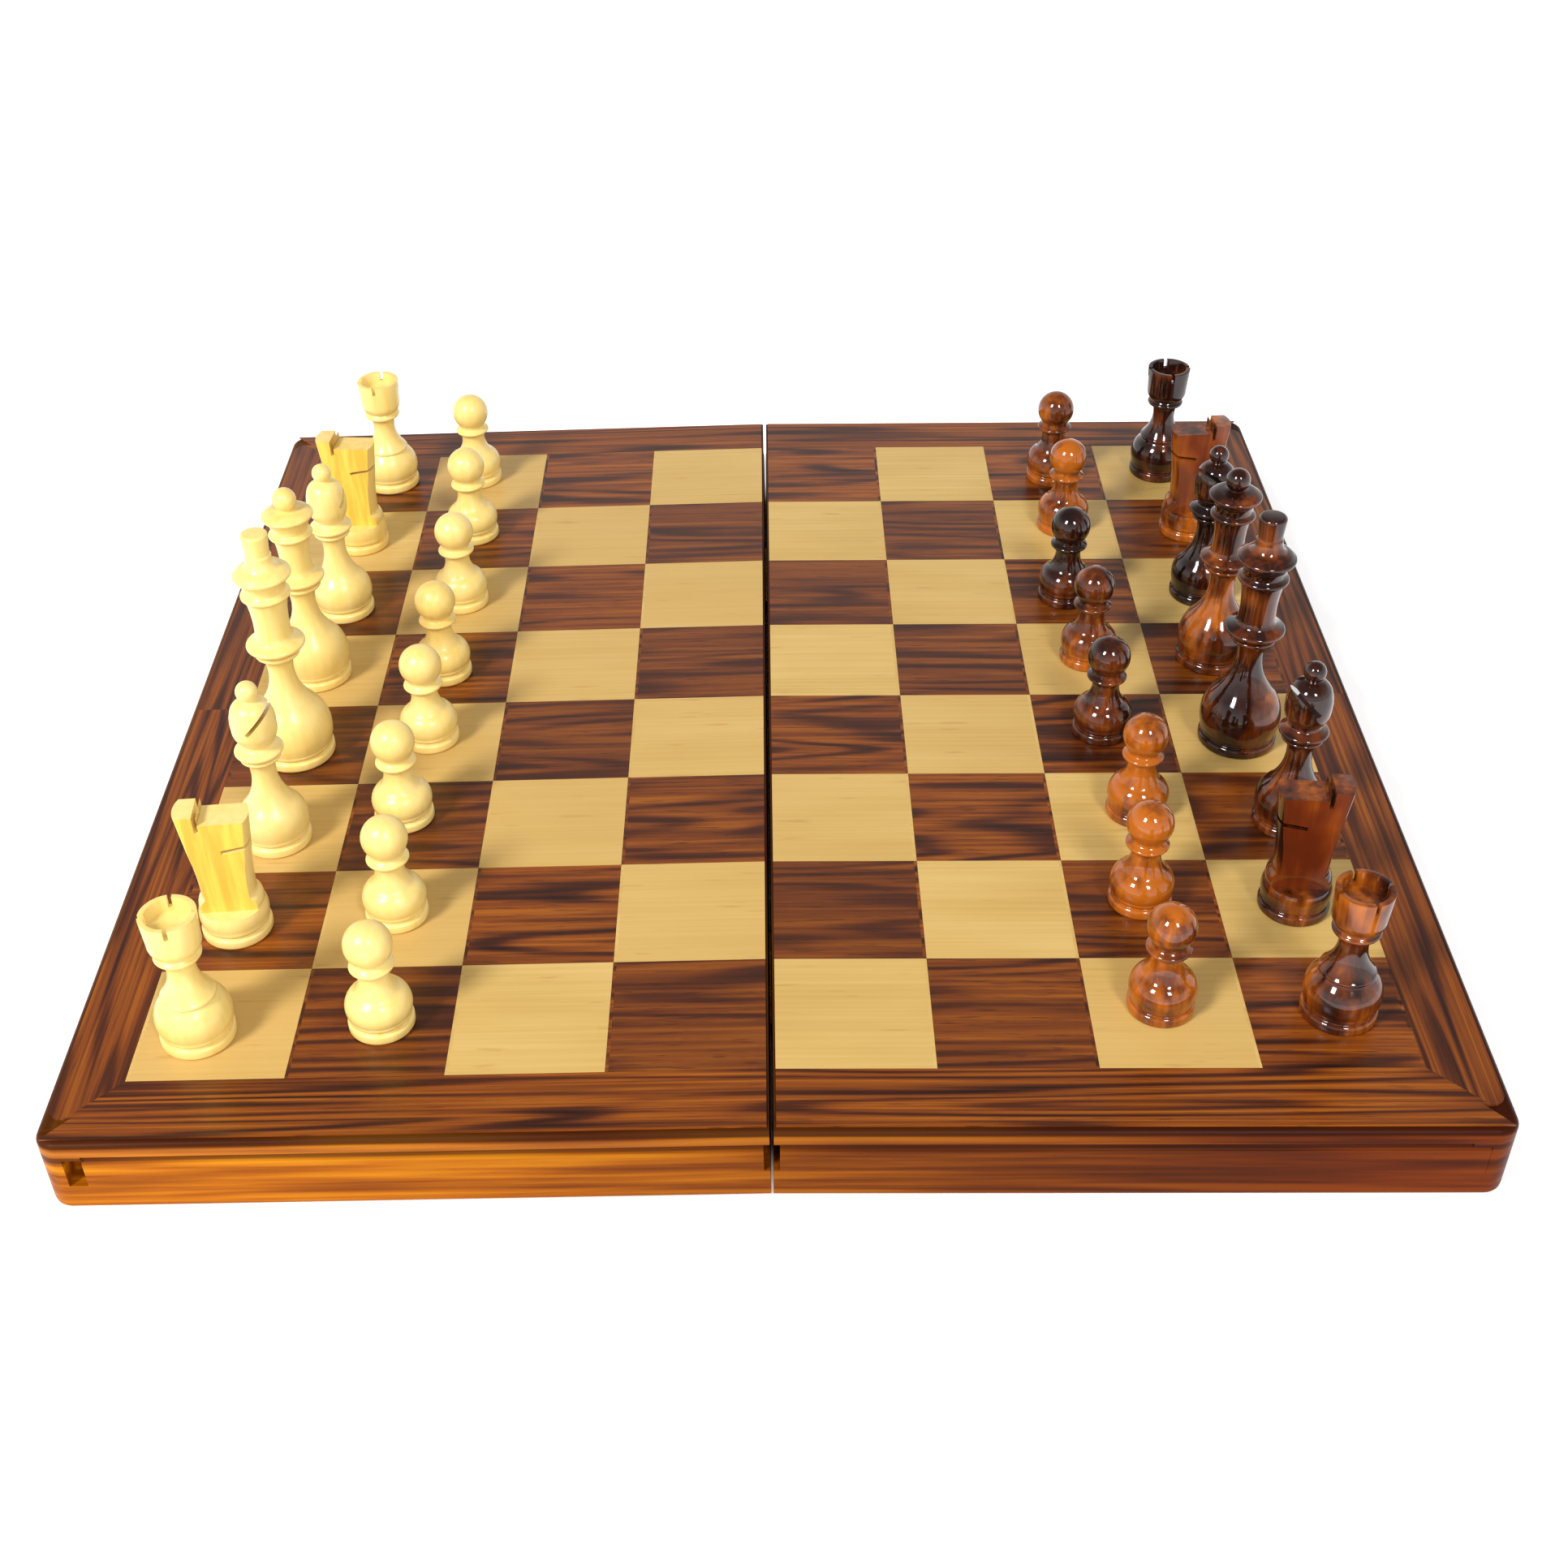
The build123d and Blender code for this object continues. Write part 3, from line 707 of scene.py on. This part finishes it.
# %% Smooth faces and sawn faces
for kind, man in patterns.items():
    bpy.ops.object.select_all(action="DESELECT")
    man.select_set(True)
    bpy.context.view_layer.objects.active = man
    bpy.ops.object.shade_smooth_by_angle(angle=math.radians(28))
    sawn = man.data.attributes.new("sawn", "FLOAT", "FACE")
    for polygon in man.data.polygons:
        flat_side = abs(polygon.normal.y) > 0.999 and abs(abs(polygon.center.y) - half_head * mm) < 0.01 * mm
        sawn.data[polygon.index].value = float(kind == "knight" and flat_side)
print("men are smooth, and the knight's cheeks are marked as sawn")


# %% [markdown]
# ## Finishes for the men
# The light men are pale boxwood under a satin lacquer, yellower on sawn faces. The dark men are the
# same wood under red-brown stain and a glossy lacquer; the stain lies dark in patches. Both show
# upright grain and the faint rings of the tool.

# %% Light and dark men
def man_figure(finish, side):
    """Readings that both finishes share: upright grain, tool rings, stain taken and sawn faces."""
    x, y, z = along(finish, laid_flat(finish, side))
    grain = noise(finish, at(finish, x * 420.0, y * 420.0, z * 36.0), detail=3.0, distortion=0.3)
    tool = noise(finish, at(finish, 0.0, 0.0, z * 2300.0), detail=1.0)
    clouds = noise(finish, at(finish, x * 75.0, y * 75.0, z * 55.0), detail=2.0)
    tone = finish.node("Attribute", {"attribute_name": "tone"}, out="Fac")
    cheek = finish.node("Attribute", {"attribute_name": "sawn"}, out="Fac")
    return grain, tool, clouds, tone, cheek


def boxwood(side):
    """Pale wood under satin lacquer."""
    finish = Finish("boxwood_men")
    grain, tool, clouds, tone, cheek = man_figure(finish, side)
    pale = ramp(
        finish,
        grain * 0.5 + clouds * 0.3 + tone * 0.3,
        (0.3, paint(239, 214, 140)),
        (0.6, paint(234, 203, 116)),
        (0.9, paint(223, 180, 82)),
    )
    golden = mixed(finish, eased(finish, grain, 0.35, 0.65), paint(246, 198, 62), paint(232, 168, 40))
    finish.feed(
        Base_Color=mixed(finish, cheek * 0.8, pale, golden),
        Roughness=0.3 + clouds * 0.16,
        Normal=raised(finish, tool * 0.6 + grain * 0.4, 0.05 * mm, 0.5),
    )
    finish.still(IOR=1.48, Coat_Weight=0.35, Coat_Roughness=0.22)
    return finish.material


def stained(side):
    """Red-brown stain under glossy lacquer."""
    finish = Finish("stained_men")
    grain, tool, clouds, tone, cheek = man_figure(finish, side)
    taken = grain * 0.5 + clouds * 1.3 + tone * 0.75 - 0.66
    colour = ramp(
        finish,
        taken,
        (0.12, paint(18, 6, 4)),
        (0.4, paint(42, 14, 6)),
        (0.6, paint(96, 42, 10)),
        (0.85, paint(168, 88, 16)),
    )
    finish.feed(
        Base_Color=mixed(finish, cheek * 0.5, colour, paint(112, 44, 16)),
        Roughness=0.05 + clouds * 0.08,
        Normal=raised(finish, tool * 0.6 + grain * 0.4, 0.03 * mm, 0.4),
    )
    finish.still(IOR=1.5, Specular_IOR_Level=0.6)
    return finish.material


woods = {"light": boxwood("left"), "dark": stained("right")}
print("two finishes for", len(patterns), "kinds of men")

# %% [markdown]
# ## Setting up
# The frame knows where each man was put down, so its foot is measured there. What the frame's box
# can't tell is how far a man is turned in the hand, and how dark its stain came out.

# %% How each man is turned and how it took the stain
turns = {"light_rook_1": 8, "light_knight_1": 4, "light_bishop_2": 60}
turns |= {"light_knight_2": -5, "light_rook_2": -4, "dark_rook_1": 12, "dark_knight_1": 175}
turns |= {"dark_bishop_1": 190, "dark_bishop_2": 215, "dark_knight_2": 184, "dark_rook_2": 3}
tones = {"light_rook_1": 0.6, "light_knight_2": 0.9, "light_pawn_5": 0.85, "light_knight_1": 0.3}
tones |= {"light_pawn_7": 0.6, "light_queen": 0.6, "light_bishop_1": 0.2, "light_rook_2": 0.5}
tones |= {"dark_pawn_1": 0.75, "dark_pawn_2": 0.85, "dark_pawn_3": 0.8, "dark_pawn_4": 0.4}
tones |= {"dark_pawn_5": 0.5, "dark_pawn_6": 0.12, "dark_pawn_7": 0.75, "dark_pawn_8": 0.55}
tones |= {"dark_rook_1": 0.45, "dark_knight_1": 0.35, "dark_bishop_1": 0.3, "dark_king": 0.3}
tones |= {"dark_queen": 0.4, "dark_bishop_2": 0.15, "dark_knight_2": 0.5, "dark_rook_2": 0.25}
print(len(turns), "men are turned in the hand")


# %% Stand the men on the board
def foot_middle(node, side):
    """The middle of a man's foot, measured on its half without the slope."""
    low, _ = level_box(node, side)
    level = halves[side].inverted()
    places = [level @ vertex.co for vertex in frame["nodes"][node].data.vertices]
    rim = [place for place in places if place.z < low.z + 3 * mm]
    x = (min(place.x for place in rim) + max(place.x for place in rim)) / 2
    y = (min(place.y for place in rim) + max(place.y for place in rim)) / 2
    return Vector((x, y, low.z))


def stand(node, army, kind, side):
    """One man of its own mesh, in place of its frame node."""
    pattern = patterns[kind]
    mesh = pattern.data.copy()
    tone = mesh.attributes.new("tone", "FLOAT", "POINT")
    shade = tones.get(node, 0.45)
    tone.data.foreach_set("value", [shade] * len(mesh.vertices))
    hand = Matrix.Rotation(math.radians(turns.get(node, 0)), 4, "Z")
    mesh.transform(halves[side] @ Matrix.Translation(foot_middle(node, side)) @ hand)
    mesh.materials.clear()
    mesh.materials.append(woods[army])
    man = bpy.data.objects.new(f"turned_{node}", mesh)
    bpy.context.scene.collection.objects.link(man)
    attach(man, node)
    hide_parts(node)
    return man


men = []
for army, side in (("light", "left"), ("dark", "right")):
    names = ["king", "queen", "bishop_1", "bishop_2", "knight_1", "knight_2", "rook_1", "rook_2"]
    names += [f"pawn_{number}" for number in range(1, 9)]
    men += [stand(f"{army}_{name}", army, name.split("_")[0], side) for name in names]
for pattern in patterns.values():
    bpy.data.objects.remove(pattern)
print(len(men), "men stand on the board")

# %% [markdown]
# ## Light and floor
# Two softboxes stand in front, the left one brighter, and put a pair of highlights on every glossy
# ball, while a pale room fills the shadows. The floor is one-sided: seen from below it lets the
# view through, so the folded board can be looked at from underneath. Clear of the board it glows a
# little, which keeps it white like paper, and under the board it stays dark.

# %% Floor
bpy.ops.object.select_all(action="DESELECT")
bpy.ops.mesh.primitive_plane_add(size=14, location=(0, 0, 0))
floor = bpy.context.object
floor.name = "floor"
pale = Finish("pale_floor")
pale.still(Base_Color=paint(250, 250, 250), Roughness=0.9, Emission_Strength=0.4)
out_x, out_y, level = along(pale, pale.node("TexCoord", out="Object"))
open_floor = eased(pale, abs(out_x).maths("MAXIMUM", abs(out_x), abs(out_y)), 0.17, 0.19)
pale.feed(Emission_Color=mixed(pale, open_floor, paint(0, 0, 0), paint(255, 255, 255)))
underneath = pale.node("NewGeometry", out="Backfacing")
clear = pale.node("BsdfTransparent")
seen = pale.node("MixShader", values={0: underneath, 1: Reading(pale, pale.shader.outputs[0]), 2: clear})
pale.links.new(seen.socket, pale.nodes["Material Output"].inputs["Surface"])
floor.data.materials.append(pale.material)
print("floor is", floor.dimensions.x, "m across")


# %% Softboxes and room
def softbox(name, place, width, height, power):
    """An area light that looks at the middle of the board."""
    bpy.ops.object.light_add(type="AREA", location=place)
    lamp = bpy.context.object
    lamp.name = name
    lamp.data.shape = "RECTANGLE"
    lamp.data.size = width
    lamp.data.size_y = height
    lamp.data.energy = power
    lamp.rotation_euler = (Vector((0, 0, 0.03)) - lamp.location).to_track_quat("-Z", "Y").to_euler()
    return lamp


softbox("left_softbox", (-1.60, -1.60, 2.10), 0.55, 0.90, 88)
softbox("right_softbox", (0.75, -2.00, 2.00), 0.42, 0.76, 36)
print("two softboxes")

# %% [markdown]
# The room is bright low down, like white paper around the table, and dim overhead. That is why
# lacquer seen at a flat angle turns pale, while lacquer near the viewer keeps its full colour.

# %% Room
room = bpy.data.worlds.new("pale_room")
bpy.context.scene.world = room
room.use_nodes = True
nodes, links = room.node_tree.nodes, room.node_tree.links
looking = nodes.new("ShaderNodeTexCoord")
heights = nodes.new("ShaderNodeSeparateXYZ")
fall = nodes.new("ShaderNodeMapRange")
fall.interpolation_type = "SMOOTHSTEP"
for key, value in {"From Min": 0.15, "From Max": 0.75, "To Min": 1.1, "To Max": 0.22}.items():
    fall.inputs[key].default_value = value
links.new(looking.outputs["Generated"], heights.inputs["Vector"])
links.new(heights.outputs["Z"], fall.inputs["Value"])
links.new(fall.outputs["Result"], nodes["Background"].inputs["Strength"])
nodes["Background"].inputs["Color"].default_value = (1, 1, 1, 1)
print("a room that is pale low down and dim overhead")
